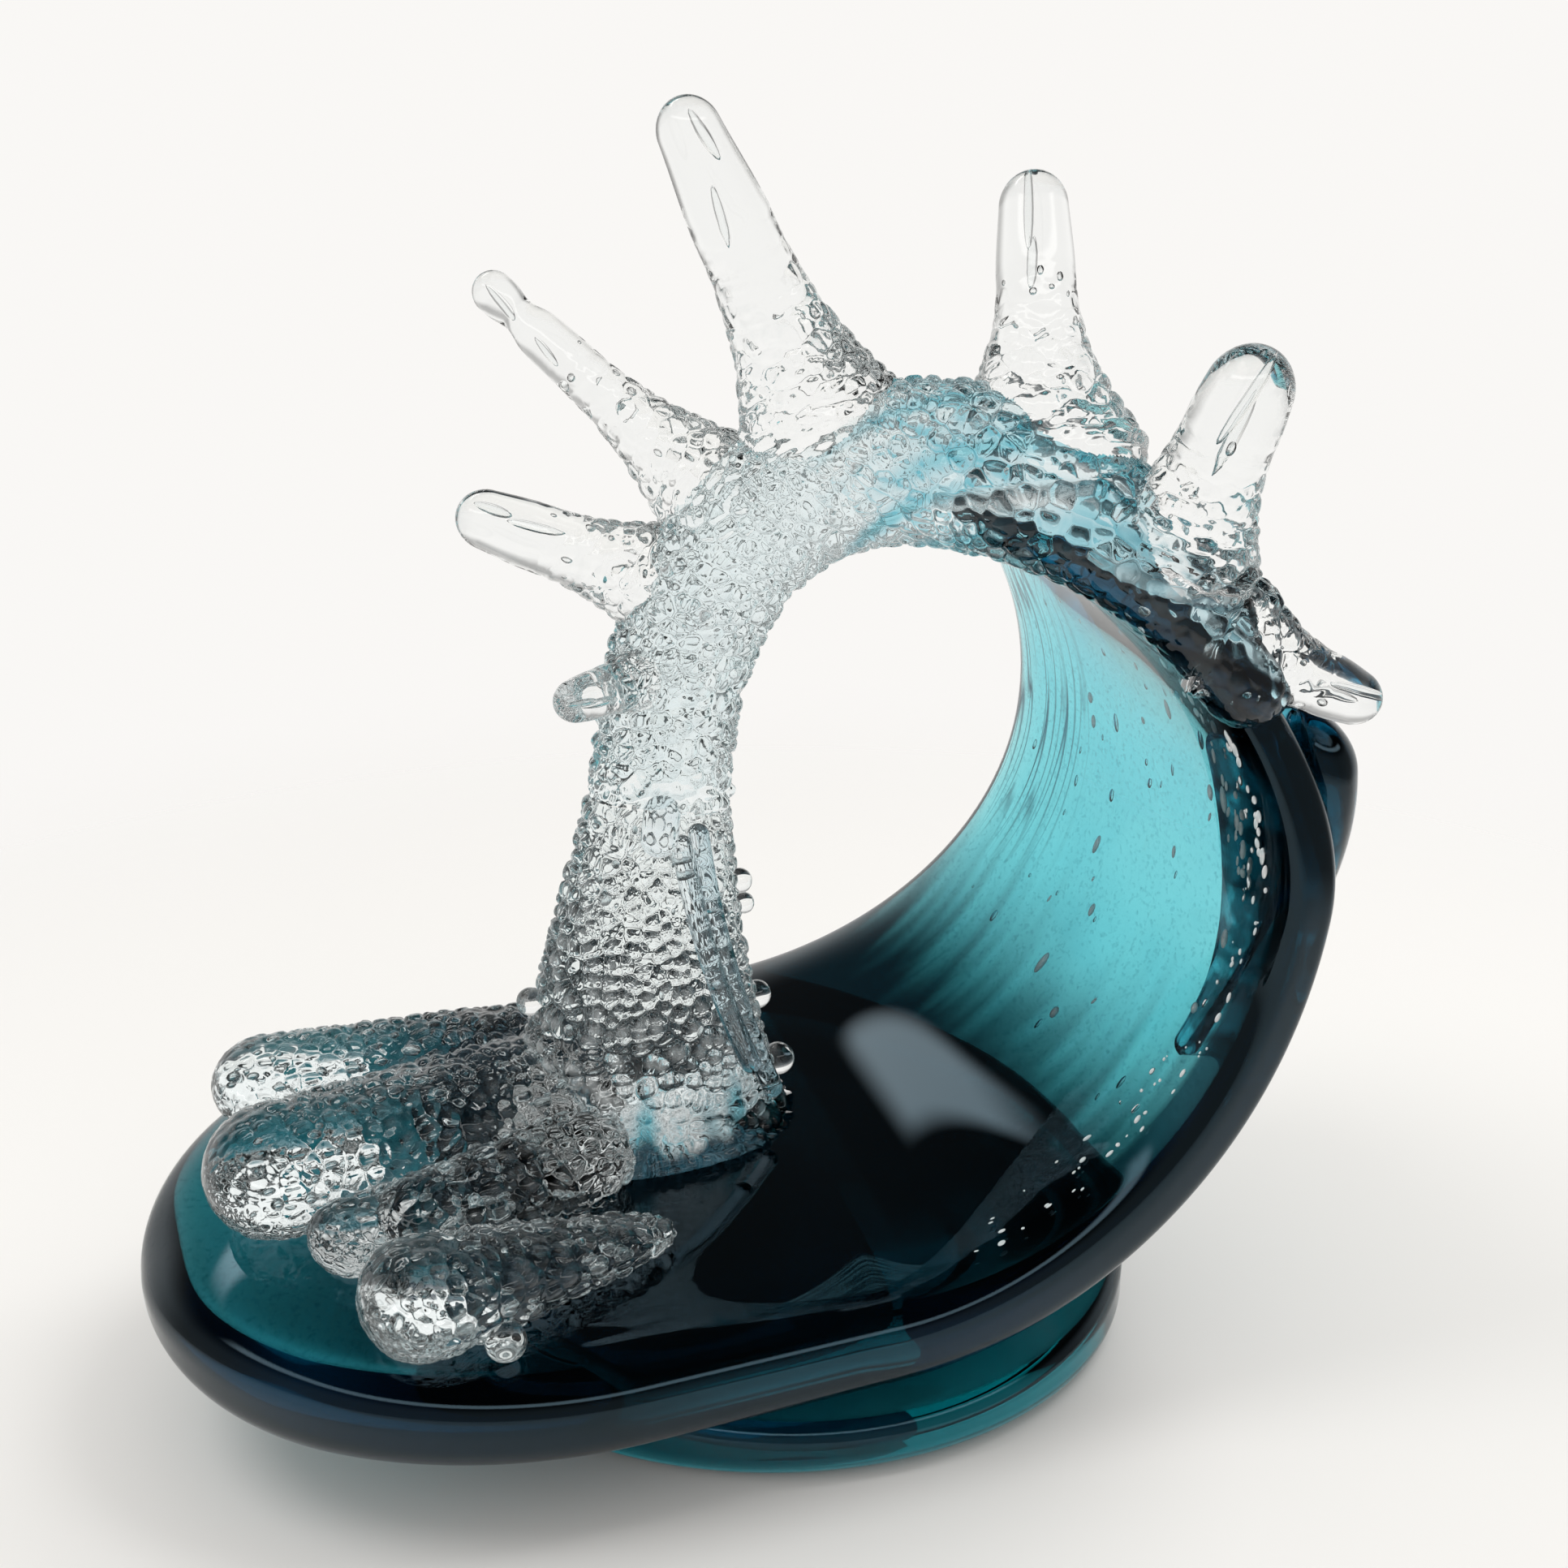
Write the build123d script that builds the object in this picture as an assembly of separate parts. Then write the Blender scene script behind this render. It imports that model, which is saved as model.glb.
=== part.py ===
from build123d import *
import math
import os

# Glass wave sculpture: a rolled teal wave on a pressed foot, with a clear crest, fingers and splash.
# Millimetres, +Z up, origin on the floor under the middle of the foot, -Y towards the viewer.
# The wave curls round a barrel axis that is turned and tilted, so places on it are given as
# across (square to the axis), along (down the axis, away from the viewer) and up,
# measured from the point of the axis that stands above the origin.

# Foot
foot_length = 150
foot_depth = 130
foot_seat = 21
foot_edge = 6
foot_shoulder = 4
foot_sink = 2

# Barrel that the wave curls round
barrel_radius = 67
barrel_turn = 20
barrel_tilt = 8.2

# Wave body: reach of the tongue, and how far the ribbon runs to the near and far side of the axis point
tongue_reach = 127
tongue_end_length = 82
tongue_near = 77
tongue_far = 48
tongue_thickness = 27
tongue_edge = 30
tongue_squareness = 3.2
wall_near = 76
wall_far = 31
wall_thickness = 14
wall_squareness = 4.4
lip_near = 46
lip_far = -26
lip_thickness = 6
lip_angle = 76
lip_far_hold = 0.35

# Crest arch: leaves the near rim, crosses over the top and ends on the column
crest_start_angle = 30
crest_rim_offset = 6
crest_start_along = -66
crest_lift = 70
crest_drop = 84
crest_sweep = 16
crest_start_size = (7, 8)
crest_top_size = (11, 14)
crest_end_size = (10, 13.5)
crest_top_share = 0.4

# Foam column: its top and foot in barrel places, its half depth and half width at the foot
column_top_across = -22
column_top_along = 3
column_top_up = -2
column_foot_across = -28
column_foot_along = -12
column_foot_size = (20, 31)
column_flare = 0.8
column_sink = 3
column_lap = 4

# Fingers: share of the crest where each stands, lean to the right, lean to the viewer, length from
# the middle of the crest to the tip, then half widths at the root, at the waist and at the tip
fingers = {
    "finger_right_low": (0.09, 115, -3, 32, 11, 5.5, 4.2),
    "finger_right_high": (0.16, 16, 16, 40, 14, 7.5, 6.3),
    "finger_top_right": (0.31, -2, -18, 52, 17, 6.5, 5.4),
    "finger_top_left": (0.55, -25, 6, 65.5, 17, 6.8, 5),
    "finger_left_high": (0.69, -49, -12, 66, 14, 4.6, 3.8),
    "finger_left_mid": (0.79, -68, 9, 47, 13, 6.2, 5),
    "finger_left_low": (0.87, -95, 48, 30, 9, 4.4, 3.6),
}
finger_flatness = 0.6
finger_waist = 0.6
finger_seat = 0.6

# Splash toes: root and tip as places across and along, then half widths and half heights at root and tip
toes = {
    "splash_toe_back": ((-36, 6), (-111, 16), (15, 9), (12, 7.5)),
    "splash_toe_big": ((-38, -8), (-114, -19), (15, 12), (15, 11)),
    "splash_toe_front": ((-33, -48), (-91, -58), (6, 4), (13, 10)),
    "splash_toe_small": ((-36, -26), (-86, -38), (11, 9), (8, 8)),
    "splash_toe_gap": ((-44, -22), (-97, -37), (9, 7), (9, 6)),
}
toe_sink = 0.3

# Drop beside the front toe
drop_across = -68
drop_along = -66
drop_radius = 3.6

# Trails down the front of the column: turn round the column at top and bottom, and heights as shares of it
trail_outer = (-74, -34, 0.93, 0.12)
trail_inner = (-86, -46, 0.90, 0.22)
trail_radius = 1.9
trail_proud = 1.1
head_turn = -100
head_top = 1
head_foot = 0.84
head_radius = 3.4

# Beads on the column's edges: turn round the column, share of its height, radius
beads = ((4, 0.72, 2.6), (-2, 0.66, 2.2), (8, 0.36, 3), (0, 0.16, 3.4), (184, 0.42, 2.8))
bead_proud = 0.5

# Back flap on the outside of the right wall
flap_low_angle = -30
flap_high_angle = 24
flap_along = -56
flap_proud = 2
flap_low_size = (3, 3)
flap_high_size = (13, 8)

# Where the sections of the lofts stand, as shares of the length they cover
tongue_stations = (0.02, 0.08, 0.18, 0.34, 0.58, 1)
rise_stations = (1, 0.8, 0.56, 0.28, 0)
curl_stations = (0.26, 0.5, 0.72, 1)
run_stations = 12
bit_stations = (0, 0.15, 0.3, 0.5, 0.75, 1)
round_stations = (0.5, 0.8, 0.96)
outline_steps = 9

axis_height = foot_seat + (barrel_radius + tongue_thickness) * math.cos(math.radians(barrel_tilt))
turn = math.radians(barrel_turn)
tilt = math.radians(barrel_tilt)
axis_point = Vector(0, 0, axis_height)
across_dir = Vector(math.cos(turn), math.sin(turn), 0)
along_dir = Vector(-math.sin(turn) * math.cos(tilt), math.cos(turn) * math.cos(tilt), math.sin(tilt))
up_dir = across_dir.cross(along_dir)


def place(across, along, up):
    """Point of the part from its place in the barrel frame."""
    return axis_point + across_dir * across + along_dir * along + up_dir * up


def ease(share):
    """Smooth step from 0 to 1."""
    share = min(max(share, 0), 1)
    return share * share * (3 - 2 * share)


def blend(first, last, share):
    """Value that goes smoothly from first to last."""
    return first + (last - first) * ease(share)


def curve(points, share):
    """Point of the Bezier curve with these control points."""
    while len(points) > 1:
        points = [start + (end - start) * share for start, end in zip(points, points[1:])]
    return points[0]


def direction(path, share):
    """Unit tangent of a path."""
    step = 0.01
    return (path(min(share + step, 1)) - path(max(share - step, 0))).normalized()


def largest(shape):
    """The largest solid of a shape: a bit that was cut by its seat keeps its outer part."""
    return max(shape.solids(), key=lambda solid: solid.volume)


def boxes_meet(first, second):
    """Whether two shapes are close enough to touch."""
    a, b = first.bounding_box(), second.bounding_box()
    gaps = [max(p - q, r - t) for p, q, r, t in zip(a.min, b.max, b.min, a.max)]
    return max(gaps) < 0


def cut(shape, *seats):
    """A bit of glass less what it is fused to."""
    for seat in seats:
        if boxes_meet(shape, seat):
            shape = largest(shape - seat)
    return shape


def pulled_bit(path, size, side, length, round_start=False):
    """Bit of glass with a round tip: ellipses along a path, with size(share) for their two half sizes."""
    tip = sum(size(1)) / 2 / length
    start = sum(size(0)) / 2 / length if round_start else 0
    stations = [(start + share * (1 - tip - start), 1) for share in bit_stations]
    for step in round_stations:
        scale = math.sqrt(1 - step * step)
        stations.append((1 - tip + tip * step, scale))
        if round_start:
            stations.insert(0, (start * (1 - step), scale))
    sections = []
    for share, scale in stations:
        tangent = direction(path, share)
        plane = Plane(origin=path(share), x_dir=side - tangent * side.dot(tangent), z_dir=tangent)
        sections.append(plane * Ellipse(*(half * scale for half in size(share))))
    sections.append(Vertex(*path(1)))
    if round_start:
        sections.insert(0, Vertex(*path(0)))
    return largest(loft(sections, ruled=True, clean=False))


def ribbon_section(centre, heading, width, thickness, squareness):
    """Flat section with soft edges: a superellipse in two halves that meet in the middle of its flats."""
    def stretch(value):
        return math.copysign(abs(value) ** (2 / squareness), value)

    def half(side):
        start, end = (0, side * thickness / 2), (0, -side * thickness / 2)
        angles = [math.radians(90 * side - 180 * step / outline_steps) for step in range(1, outline_steps)]
        points = [(width / 2 * stretch(math.cos(a)), thickness / 2 * stretch(math.sin(a))) for a in angles]
        return Spline([start, *points, end], tangents=[(side, 0), (-side, 0)])

    plane = Plane(origin=centre, x_dir=along_dir, z_dir=heading)
    return plane * make_face([half(1), half(-1)])


def wave_sections():
    """Sections of the ribbon: from the tip of the tongue, round the barrel, up to the lip."""
    full_width = tongue_near + tongue_far
    middle = (tongue_far - tongue_near) / 2
    depth = barrel_radius + tongue_thickness / 2
    sections = [Vertex(*place(-tongue_reach, middle, -depth))]
    for share in tongue_stations:
        distance = share * tongue_end_length
        width = full_width * math.sqrt(1 - (1 - share) ** 2)
        rounding = max(1 - distance / tongue_edge, 0)
        thickness = tongue_thickness * math.sqrt(1 - rounding ** 2)
        centre = place(distance - tongue_reach, middle, -depth)
        sections.append(ribbon_section(centre, across_dir, width, thickness, tongue_squareness))
    for angle in [-90 * share for share in rise_stations] + [lip_angle * share for share in curl_stations]:
        if angle < 0:
            rise = 1 + angle / 90
            near = blend(tongue_near, wall_near, rise)
            far = blend(tongue_far, wall_far, rise)
            thickness = blend(tongue_thickness, wall_thickness, rise)
            squareness = blend(tongue_squareness, wall_squareness, rise)
        else:
            rise = angle / lip_angle
            near = blend(wall_near, lip_near, rise)
            far = blend(wall_far, lip_far, (rise - lip_far_hold) / (1 - lip_far_hold))
            thickness = blend(wall_thickness, lip_thickness, rise)
            squareness = wall_squareness
        spoke = across_dir * math.cos(math.radians(angle)) + up_dir * math.sin(math.radians(angle))
        centre = axis_point + spoke * (barrel_radius + thickness / 2) + along_dir * ((far - near) / 2)
        sections.append(ribbon_section(centre, spoke.cross(along_dir), near + far, thickness, squareness))
    return sections


def crest_path(share):
    """Middle of the crest, from the near rim over the top to the head of the column."""
    angle = math.radians(crest_start_angle)
    radius = barrel_radius + crest_rim_offset
    start = place(radius * math.cos(angle), crest_start_along, radius * math.sin(angle))
    leave = across_dir * -math.sin(angle) + up_dir * math.cos(angle)
    lift = start + leave * crest_lift + along_dir * crest_sweep
    end = place(column_top_across, column_top_along, column_top_up)
    return curve([start, lift, end + up_dir * crest_drop, end], share)


def crest_size(share):
    """Half depth and half height of the crest."""
    if share < crest_top_share:
        return tuple(blend(a, b, share / crest_top_share) for a, b in zip(crest_start_size, crest_top_size))
    fall = (share - crest_top_share) / (1 - crest_top_share)
    return tuple(blend(a, b, fall) for a, b in zip(crest_top_size, crest_end_size))


def run(path, size):
    """The crest or the column: a smooth loft of ovals, each of four quarter arcs, along its whole path."""
    sections = []
    for step in range(run_stations + 1):
        share = step / run_stations
        tangent = direction(path, share)
        plane = Plane(origin=path(share), x_dir=tangent.cross(along_dir), z_dir=tangent)
        half_deep, half_wide = size(share)
        arcs = [EllipticalCenterArc((0, 0), half_wide, half_deep, 90 * quarter) for quarter in range(4)]
        sections.append(plane * make_face(arcs))
    return largest(loft(sections, clean=False))


def column_path(height):
    """Middle of the column, from its foot at 0 to its top at 1, which laps the end of the crest."""
    foot = place(column_foot_across, column_foot_along, -barrel_radius - column_sink)
    top = place(column_top_across, column_top_along, column_top_up + column_lap)
    knee = (foot + top) / 2 + across_dir * ((column_foot_across - column_top_across) / 2)
    return curve([foot, knee, top], height)


def column_size(height):
    """Half depth and half width of the column: it widens towards its foot."""
    rise = height ** column_flare
    return tuple(foot + (top - foot) * rise for foot, top in zip(column_foot_size, crest_end_size))


def column_skin(turned, height, proud=0):
    """Point on the column's surface, turned from its right edge towards the far side."""
    tangent = direction(column_path, height)
    across = (across_dir - tangent * across_dir.dot(tangent)).normalized()
    deep = tangent.cross(across)
    thick, wide = (half + proud for half in column_size(height))
    angle = math.radians(turned)
    return column_path(height) + across * (wide * math.cos(angle)) + deep * (thick * math.sin(angle))


def finger(share, lean_right, lean_near, length, root, waist, tip):
    """Finger pulled out of the crest."""
    right, near = math.radians(lean_right), math.radians(lean_near)
    out = Vector(math.sin(right) * math.cos(near), -math.sin(near), math.cos(right) * math.cos(near))
    seat = crest_size(share)[1] * finger_seat
    base = crest_path(share) + out * seat

    def size(part):
        if part > finger_waist:
            width = blend(waist, tip, (part - finger_waist) / (1 - finger_waist))
            return width, width
        flare = (1 - part / finger_waist) ** 2
        return waist + (root - waist) * flare, waist + (root * finger_flatness - waist) * flare

    reach = length - seat
    return pulled_bit(lambda part: base + out * (reach * part), size, direction(crest_path, share), reach)


def toe(root, tip, root_size, tip_size):
    """Toe of the splash that lies on the tongue."""
    top = -barrel_radius
    root_up = top + root_size[1] * (1 - toe_sink)
    tip_up = top + tip_size[1] * (1 - toe_sink)
    start, end = place(*root, root_up), place(*tip, tip_up)

    def size(part):
        return tuple(blend(a, b, part) for a, b in zip(root_size, tip_size))

    side = up_dir.cross((end - start).normalized())
    return pulled_bit(lambda part: start + (end - start) * part, size, side, (end - start).length)


def trail(turn_top, turn_foot, high, low, radius):
    """Thread of glass down the column's front."""
    def path(share):
        turned = turn_top + (turn_foot - turn_top) * share
        return column_skin(turned, high + (low - high) * share, trail_proud)

    length = (path(1) - path(0)).length
    return pulled_bit(path, lambda share: (radius, radius), across_dir, length, round_start=True)


def flap():
    """Lump of glass that follows the outside of the wall."""
    def path(share):
        angle = math.radians(flap_low_angle + (flap_high_angle - flap_low_angle) * share)
        radius = barrel_radius + wall_thickness + flap_proud
        return place(radius * math.cos(angle), flap_along, radius * math.sin(angle))

    def size(share):
        return tuple(blend(a, b, share) for a, b in zip(flap_low_size, flap_high_size))

    return pulled_bit(path, size, along_dir, (path(1) - path(0)).length, round_start=True)


wave_ribbon = largest(loft(wave_sections(), clean=False))

tongue_under = place(0, 0, foot_sink - barrel_radius - tongue_thickness)
under_wave = Plane(origin=tongue_under, x_dir=across_dir, z_dir=up_dir)
foot = extrude(Ellipse(foot_length / 2, foot_depth / 2), axis_height)
foot = foot.split(under_wave, keep=Keep.BOTTOM)
foot = fillet(foot.faces().sort_by(Axis.Z)[0].edges(), foot_edge)
foot = fillet(foot.faces().sort_by(Axis.Z)[-1].edges(), foot_shoulder)
foot = cut(foot, wave_ribbon)

crest_arch = run(crest_path, crest_size)
wave_body = cut(wave_ribbon, crest_arch)

crest_end = Plane(origin=crest_path(1), z_dir=direction(crest_path, 1))
foam_column = largest(run(column_path, column_size).split(crest_end, keep=Keep.TOP))
foam_column = cut(foam_column, wave_ribbon)

nodes = {"foot": foot, "wave_body": wave_body, "crest_arch": crest_arch, "foam_column": foam_column}

placed = []
for name, sizes in fingers.items():
    nodes[name] = cut(finger(*sizes), crest_arch, *placed)
    placed.append(nodes[name])

placed = []
for name, sizes in toes.items():
    nodes[name] = cut(toe(*sizes), wave_ribbon, foam_column, *placed)
    placed.append(nodes[name])

drop = Pos(*place(drop_across, drop_along, -barrel_radius + drop_radius / 2)) * Sphere(drop_radius)
nodes["splash_drop"] = cut(drop, wave_ribbon, nodes["splash_toe_front"])

trails = {
    "trail_head": (head_turn, head_turn, head_top, head_foot, head_radius),
    "trail_outer": (*trail_outer, trail_radius),
    "trail_inner": (*trail_inner, trail_radius),
}
placed = []
for name, sizes in trails.items():
    nodes[name] = cut(trail(*sizes), foam_column, crest_arch, *placed)
    placed.append(nodes[name])

bead_solids = []
for turned, height, radius in beads:
    bead = Pos(*column_skin(turned, height, radius * bead_proud)) * Rot(0, 0, turned) * Sphere(radius)
    bead_solids.append(cut(bead, foam_column, *placed, *bead_solids))
nodes["column_beads"] = Compound(children=bead_solids)

nodes["back_flap"] = cut(flap(), wave_ribbon, crest_arch, nodes["finger_right_low"])

os.makedirs("parts", exist_ok=True)
for name, shape in nodes.items():
    export_step(shape, "parts/" + name + ".step")
    print(name, round(shape.volume), [round(v, 1) for v in shape.bounding_box().size])
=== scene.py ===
import bpy
import numpy as np
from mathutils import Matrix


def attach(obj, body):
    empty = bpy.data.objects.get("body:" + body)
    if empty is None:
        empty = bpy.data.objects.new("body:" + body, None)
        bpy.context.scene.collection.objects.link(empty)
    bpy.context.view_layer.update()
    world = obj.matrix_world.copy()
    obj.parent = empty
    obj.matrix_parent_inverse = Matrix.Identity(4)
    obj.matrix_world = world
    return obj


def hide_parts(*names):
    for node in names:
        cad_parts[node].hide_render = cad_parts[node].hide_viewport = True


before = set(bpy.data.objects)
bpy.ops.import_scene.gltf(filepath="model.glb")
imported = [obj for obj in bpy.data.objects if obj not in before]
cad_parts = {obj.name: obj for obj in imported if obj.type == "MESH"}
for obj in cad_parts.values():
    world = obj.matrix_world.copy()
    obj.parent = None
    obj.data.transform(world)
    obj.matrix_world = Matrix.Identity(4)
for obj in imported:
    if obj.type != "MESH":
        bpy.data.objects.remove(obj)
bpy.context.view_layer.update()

# Foot: the pressed oval disc of teal glass that the wave stands on.
# It is cast first, ground flat underneath and leaned back on top, where the hot wave is laid on it.
millimetre = 0.001
foot_half_length, foot_half_depth = 75, 65
foot_edge, foot_shoulder, foot_sink = 6, 4, 2
foot_seat, foot_middle_inset, foot_row_gap = 21, 60, 2
foot_tint, foot_deep, foot_pale = (0.4, 0.75, 0.8), (0.3, 0.64, 0.72), (0.5, 0.88, 0.95)
foot_absorbed = (58, 14, 13)
barrel_radius, tongue_thickness = 67, 27
barrel_turn, barrel_tilt = np.radians(20), np.radians(8.2)
axis_height = foot_seat + (barrel_radius + tongue_thickness) * np.cos(barrel_tilt)
axis_point = np.array([0, 0, axis_height])
across_dir = np.array([np.cos(barrel_turn), np.sin(barrel_turn), 0])
along_dir = np.array([
    -np.sin(barrel_turn) * np.cos(barrel_tilt),
    np.cos(barrel_turn) * np.cos(barrel_tilt),
    np.sin(barrel_tilt),
])
up_dir = np.cross(across_dir, along_dir)
glass_index, density_headroom = 1.5, 1.05
coloured_gloss, coloured_gloss_tint = 0.3, (0.5, 0.8, 1)


def place(across, along, up):
    """Points from places in the barrel frame: axis point plus each place times its own direction."""
    parts = zip(np.broadcast_arrays(across, along, up), (across_dir, along_dir, up_dir))
    return axis_point + sum(np.asarray(value, float)[..., None] * way for value, way in parts)


def join(owner, value, socket):
    """Links an output to a socket in a material or a room, or sets the socket to a plain value or colour."""
    if isinstance(value, bpy.types.NodeSocket):
        owner.node_tree.links.new(value, socket)
    elif socket.type == "RGBA":
        socket.default_value = (*value, 1)
    else:
        socket.default_value = value


def shade(owner, key, value, node="Principled BSDF"):
    """Joins an input of the material's shader, or of another first node, to an output or a plain value."""
    join(owner, value, owner.node_tree.nodes[node].inputs[key])


def fitted(owner, kind, inputs):
    """New node in a material or a room, with its inputs joined to outputs or plain values."""
    node = owner.node_tree.nodes.new("ShaderNode" + kind)
    for key, value in inputs.items():
        join(owner, value, node.inputs[key])
    return node


def glass(name, tint, roughness, absorbed=None):
    """Clear glass, or glass with an even absorption per metre inside and a weaker, bluer gloss."""
    material = bpy.data.materials.new(name)
    material.use_nodes = True
    shade(material, "Base Color", tint)
    shade(material, "Roughness", roughness)
    shade(material, "IOR", glass_index)
    shade(material, "Transmission Weight", 1)
    if absorbed is not None:
        shade(material, "Specular IOR Level", coloured_gloss)
        shade(material, "Specular Tint", coloured_gloss_tint)
        density = max(absorbed) * density_headroom
        passed = 1 - np.array(absorbed) / density
        depth = fitted(material, "VolumeAbsorption", {"Color": passed, "Density": density})
        shade(material, "Volume", depth.outputs["Volume"], "Material Output")
    return material


def mixed(material, first, last, share):
    """Output of a mix of two colours, each a plain colour or an output, by a share."""
    node = fitted(material, "Mix", {"Factor": share})
    node.data_type = "RGBA"
    for key, colour in (("A", first), ("B", last)):
        socket = [item for item in node.inputs if item.name == key and item.type == "RGBA"][0]
        join(material, colour, socket)
    return [item for item in node.outputs if item.type == "RGBA"][0]


def grain(material, scale, detail, vector=None):
    """Output of smooth noise on the object's own coordinates in metres, or on a given vector."""
    if vector is None:
        vector = fitted(material, "TexCoord", {}).outputs["Object"]
    noise = {"Scale": scale, "Detail": detail, "Vector": vector}
    return fitted(material, "TexNoise", noise).outputs["Fac"]


def shown(name, data):
    """Object at the origin of the scene that shows a mesh, a lamp or a camera."""
    item = bpy.data.objects.new(name, data)
    bpy.context.scene.collection.objects.link(item)
    return item


def skin(name, shells, materials, slot, node, hidden=None, chips=0, **marks):
    """Closed mesh from shells of rings of points: quads between rings and a fan at each end.

    The first shell is the outside and the others are bubbles. Outside faces with only hidden corners take
    the second material, and as many last bubbles as there are chips take the last. Marks are numbers kept
    at the outside's points.
    """
    points, faces, finish = [], [], []
    for number, rings in enumerate(shells):
        start = sum(len(block) for block in points)
        count, around = rings.shape[:2]
        here = start + np.arange(count * around).reshape(count, around)
        beside = np.roll(here, -1, axis=1)
        tips = np.stack([rings[0].mean(0), rings[-1].mean(0)])
        points.append(np.concatenate([rings.reshape(-1, 3), tips]) * millimetre)
        first = np.stack([beside[0], here[0], np.full(around, start + count * around)], axis=-1)
        last = np.stack([here[-1], beside[-1], np.full(around, start + count * around + 1)], axis=-1)
        quads = np.stack([here[:-1], beside[:-1], beside[1:], here[1:]], axis=-1).reshape(-1, 4)
        kind = np.zeros(len(quads) + 2 * around, np.int32)
        if hidden is not None and number == 0:
            flat = np.concatenate([hidden.reshape(-1), hidden[:1].all(1), hidden[-1:].all(1)])
            kind[np.concatenate([flat[quads].all(1), flat[first].all(1), flat[last].all(1)])] = 1
        if number >= len(shells) - chips:
            kind[:] = len(materials) - 1
        finish.append(kind)
        faces += quads.tolist() + first.tolist() + last.tolist()
    points = np.concatenate(points)
    mesh = bpy.data.meshes.new(name)
    mesh.from_pydata(points.tolist(), [], faces)
    mesh.polygons.foreach_set("use_smooth", np.ones(len(mesh.polygons), bool))
    for material in materials:
        mesh.materials.append(material)
    mesh.polygons.foreach_set("material_index", np.concatenate(finish))
    for key, values in marks.items():
        numbers = np.zeros(len(points), np.float32)
        count = values.size
        numbers[:count + 2] = np.concatenate([values.reshape(-1), values[:1].mean(1), values[-1:].mean(1)])
        mesh.attributes.new(key, "FLOAT", "POINT").data.foreach_set("value", numbers)
    piece = shown(name, mesh)
    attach(piece, "root")
    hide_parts(node)


def foot_rings():
    """Oval rings, inset from the foot's oval and raised along a profile: flat, arc, side, arc and flat."""
    flat, arc = np.zeros(8), np.zeros(10)
    quarter = np.linspace(0, np.pi / 2, len(arc))
    turn = np.linspace(0, 2 * np.pi, 160, endpoint=False)
    under = place(0, 0, foot_sink - barrel_radius - tongue_thickness)
    inset = np.concatenate([
        np.linspace(foot_middle_inset, foot_edge + foot_row_gap, len(flat)),
        foot_edge * (1 - np.sin(quarter)),
        flat,
        foot_shoulder * (1 - np.cos(quarter)),
        np.linspace(foot_shoulder + foot_row_gap, foot_middle_inset, len(flat)),
    ])
    low = np.concatenate([flat, foot_edge * (1 - np.cos(quarter)), flat + foot_edge, arc, flat])
    rise = np.concatenate([flat, arc, np.linspace(0.05, 0.95, len(flat)), arc + 1, flat + 1])
    drop = np.concatenate([flat, arc, flat + foot_shoulder, foot_shoulder * (1 - np.sin(quarter)), flat])
    x = (foot_half_length - inset)[:, None] * np.cos(turn)
    y = (foot_half_depth - inset)[:, None] * np.sin(turn)
    top = under[2] - ((x - under[0]) * up_dir[0] + (y - under[1]) * up_dir[1]) / up_dir[2]
    z = low[:, None] + rise[:, None] * (top - drop[:, None] - low[:, None])
    return np.stack([x, y, z], axis=-1)


foot_glass = glass("foot_glass", foot_tint, roughness=0.01, absorbed=foot_absorbed)
foot_grain = grain(foot_glass, scale=60, detail=3)
shade(foot_glass, "Base Color", mixed(foot_glass, foot_deep, foot_pale, foot_grain))
skin("foot_disc", [foot_rings()], [foot_glass], "teal_glass", "foot")

# Wave: one thick gather of teal glass, pressed flat as the tongue, bent up as the barrel's wall and curled
# to a thin lip. It is laid hot on the foot and fuses there. Dark glass is worked into the tongue and the
# near rim and drawn out as threads, and clear air bubbles lie under the wall's inner face. White chips under
# that face and along the near edge are painted glints.
tongue_reach, tongue_end_length, tongue_edge = 127, 82, 30
tongue_near, tongue_far, tongue_squareness, tongue_angle = 77, 48, 3.2, -80
wall_near, wall_far, wall_thickness, wall_squareness = 76, 31, 14, 4.4
lip_near, lip_far, lip_thickness = 46, -26, 6
lip_angle, lip_taper, lip_far_hold, lip_blunt = 76, 56, 0.35, 0.99
wave_first_bend, wave_row_gap = 0.04, 1.5
wave_tint, wave_absorbed = (1, 1, 1), (105, 23, 16)
wave_pale, wave_cloud, wave_speck = (0.98, 1, 1), (0.55, 0.8, 0.85), (0.25, 0.4, 0.45)
wave_thread, wave_dark = (0.01, 0.04, 0.06), (0.008, 0.016, 0.022)
thread_low, thread_middle, thread_high = 0.46, 0.5, 0.54
thread_run, thread_width = 0.012, 0.2
thread_edge, thread_rise, thread_lip = (20, 14), (-35, 25), (40, 15)
dark_fade, dark_waver = (-60, 42), 9
end_fade, end_clearness = (60, 45), 0.2
under_height, under_clearness = -0.5, 0.6
rim_fade, rim_waver, rim_top = (9, 6), 3, (44, 24)
keel_height, keel_inner, keel_clearness = (0.1, 0.5), (25, 15), 0.8
keel_start, keel_end = (-55, 40), (-78, 22)
streak_lengths, streak_drift, streak_swing = (5, 8, 13, 21), 35, 1.5
full_turn, streak_shift = 6.283, 6.3
bubble_rows, bubble_around, bubble_blunt, bubble_side = 9, 10, 0.95, (0.3, 0.5, 0.8)
bubble_margin, bubble_crowding, bubble_slant, bubble_depth = 8, 1.6, 0.12, 0.5
bubble_stretch = (1.2, 3.2)
# Colours of the white chips in the wave, which are painted glints.
froth_tint, froth_white, froth_grey = (0.93, 0.96, 0.97), (0.96, 0.98, 0.985), (0.8, 0.9, 0.92)
froth_clearness = 0.3


def mark(material, name):
    """Output of the number that the mesh keeps under this name at each point."""
    node = fitted(material, "Attribute", {})
    node.attribute_name = name
    return node.outputs["Fac"]


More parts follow.
